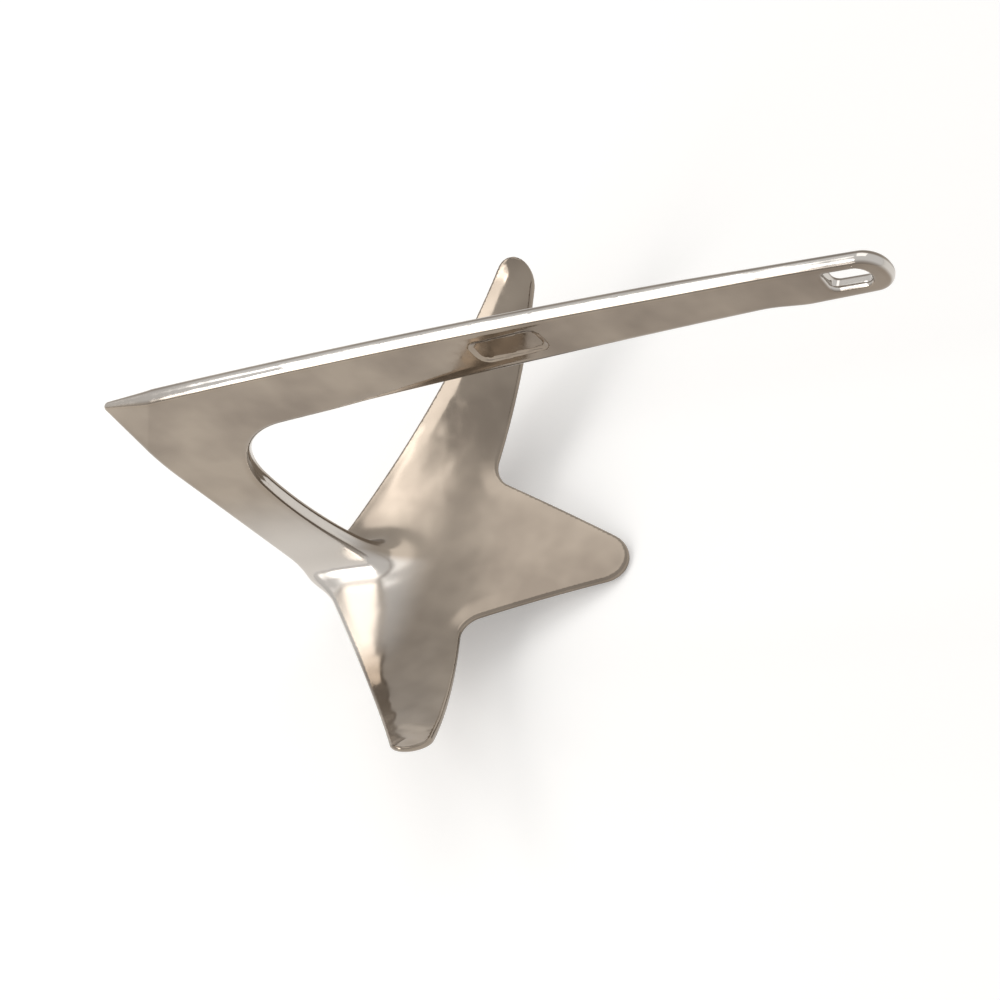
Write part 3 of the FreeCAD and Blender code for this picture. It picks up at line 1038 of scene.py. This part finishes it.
@dataclass
class PhotoCamera:
    """Camera at the photograph's viewing angle, given in the drawing frame."""

    azimuth: float = 45.35334
    elevation: float = 43.14862
    roll: float = -43.46158
    distance: float = 4200.0
    magnification: float = 1.51325
    aim: tuple[float, float, float] = (265.0, 0.0, -115.0)
    offset: tuple[float, float] = (11.94023, 40.51292)
    frame_pixels: float = 1000.0
    sensor: float = 36.0
    clip: tuple[float, float] = (0.1, 60.0)

    def build(self, pose: RestPose) -> bpy.types.Object:
        """Place the camera in the row frame and make it the scene's camera.

        Args:
            pose: How the casting rests.

        Returns:
            The camera.
        """
        azimuth, elevation, roll = (math.radians(a) for a in (self.azimuth, self.elevation, self.roll))
        level = Vector((math.cos(azimuth), math.sin(azimuth), 0.0))
        back = Vector(
            (
                math.sin(azimuth) * math.cos(elevation),
                -math.cos(azimuth) * math.cos(elevation),
                math.sin(elevation),
            )
        )
        upright = back.cross(level)
        right = math.cos(roll) * level + math.sin(roll) * upright
        up = math.cos(roll) * upright - math.sin(roll) * level
        place = Vector(self.aim) - self.offset[0] * right - self.offset[1] * up + self.distance * back
        turn = pose.matrix().to_3x3().normalized()
        axes = Matrix([turn @ right, turn @ up, turn @ back]).transposed().to_4x4()
        data = bpy.data.cameras.new("photo_camera")
        data.sensor_width = self.sensor
        data.lens = self.sensor * self.magnification * self.distance / self.frame_pixels
        data.clip_start, data.clip_end = self.clip
        camera = bpy.data.objects.new("photo_camera", data)
        camera.matrix_world = Matrix.Translation(pose.matrix() @ place) @ axes
        bpy.context.scene.collection.objects.link(camera)
        bpy.context.scene.camera = camera
        LOG.info("camera: lens %.1f mm", data.lens)
        return camera


@dataclass(frozen=True)
class SoftBox:
    """One soft lamp of the studio, aimed at a point of the object.

    Its first size is measured as nearly as possible along a given direction.
    """

    name: str
    place: tuple[float, float, float]
    size: tuple[float, float]
    brightness: float
    along: tuple[float, float, float] = (0.0, 1.0, 0.0)
    aim: tuple[float, float, float] = (0.0, 0.0, 0.2)

    def build(self) -> bpy.types.Object:
        """Make the lamp; brightness is the level its face shows in a mirror.

        Returns:
            The lamp.
        """
        data = bpy.data.lights.new(self.name, "AREA")
        data.shape = "RECTANGLE"
        data.size, data.size_y = self.size
        data.energy = self.brightness * math.pi * self.size[0] * self.size[1]
        lamp = bpy.data.objects.new(self.name, data)
        behind = (Vector(self.place) - Vector(self.aim)).normalized()
        across = behind.cross(Vector(self.along)).normalized()
        turn = Matrix([across.cross(behind), across, behind]).transposed()
        lamp.matrix_world = Matrix.Translation(self.place) @ turn.to_4x4()
        bpy.context.scene.collection.objects.link(lamp)
        return lamp


@dataclass
class Studio:
    """Pale floor, white surround and soft lamps."""

    floor_half: float = 9.0
    floor_colour: str = "#EEECE9"
    floor_lift: float = 0.31
    surround: float = 1.0
    ambient: float = 0.6
    lamps: tuple[SoftBox, ...] = (
        SoftBox("back_left_softbox", (-1.9, 1.18, 2.57), (1.0, 1.05), 1.8, (0.0, -0.895, 0.446)),
        SoftBox("left_softbox", (-1.72, -0.25, 2.8), (2.6, 0.95), 1.9),
        SoftBox("near_left_softbox", (-1.75, -1.95, 1.84), (2.2, 1.1), 4.0, (0.0, 0.643, 0.766)),
        SoftBox("overhead_softbox", (0.15, 1.75, 3.2), (2.4, 2.3), 0.88),
    )

    def _seen_directly(self, sketch: NodeSketch) -> Socket:
        """Share that is 1 for camera, mirror and glass rays and 0 for soft light.

        Args:
            sketch: Tree that it is drawn in.

        Returns:
            Socket that gives the share.
        """
        path = sketch.add("ShaderNodeLightPath").outputs
        share = path["Is Camera Ray"]
        for ray in ("Is Glossy Ray", "Is Transmission Ray"):
            either = sketch.add("ShaderNodeMath", {"operation": "MAXIMUM"}, {0: share, 1: path[ray]})
            share = either.outputs[0]
        return share

    def build(self) -> None:
        """Make the floor, the surround and the lamps."""
        mesh = bpy.data.meshes.new("studio_floor")
        half = self.floor_half
        corners = [(-half, -half, 0), (half, -half, 0), (half, half, 0), (-half, half, 0)]
        mesh.from_pydata(corners, [], [(0, 1, 2, 3)])
        floor = bpy.data.objects.new("studio_floor", mesh)
        bpy.context.scene.collection.objects.link(floor)
        mesh.materials.append(self._floor_material())
        self._surround()
        for lamp in self.lamps:
            lamp.build()
        LOG.info("studio: %d lamps", len(self.lamps))

    def _floor_material(self) -> bpy.types.Material:
        """Matt pale floor that reads near white and keeps the object's shadow.

        Returns:
            The material.
        """
        material = bpy.data.materials.new("matt_white_paper")
        material.use_nodes = True
        material.node_tree.nodes.clear()
        sketch = NodeSketch(material.node_tree)
        paper = sketch.add("ShaderNodeBsdfDiffuse", {"Color": linear_colour(self.floor_colour)})
        seen = self._seen_directly(sketch)
        glow = sketch.add("ShaderNodeMath", {"operation": "MULTIPLY", 1: self.floor_lift}, {0: seen})
        light = sketch.add("ShaderNodeEmission", None, {"Strength": glow.outputs[0]})
        both = sketch.add("ShaderNodeAddShader", None, {0: paper.outputs[0], 1: light.outputs[0]})
        sketch.add("ShaderNodeOutputMaterial", None, {"Surface": both.outputs[0]})
        return material

    def _surround(self) -> None:
        """White surround to the eye and to mirrors, calmer as a source of light."""
        world = bpy.data.worlds.new("studio_surround")
        world.use_nodes = True
        world.node_tree.nodes.clear()
        sketch = NodeSketch(world.node_tree)
        level = sketch.add(
            "ShaderNodeMapRange",
            {"To Min": self.ambient, "To Max": self.surround},
            {"Value": self._seen_directly(sketch)},
        )
        shade = sketch.add("ShaderNodeBackground", None, {"Strength": level.outputs["Result"]})
        sketch.add("ShaderNodeOutputWorld", None, {"Surface": shade.outputs[0]})
        bpy.context.scene.world = world


def main() -> None:
    """Build the camera, the studio and the casting, and note the sizes."""
    logging.basicConfig(level=logging.INFO, format="%(name)s: %(message)s")
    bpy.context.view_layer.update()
    pose = RestPose()
    PhotoCamera().build(pose)
    Studio().build()
    AnchorCasting(BentBar(), Claw()).build(pose, PolishedStainless())
    bpy.context.scene.view_settings.view_transform = "Standard"
    bpy.context.view_layer.update()


if __name__ == "__main__":
    main()
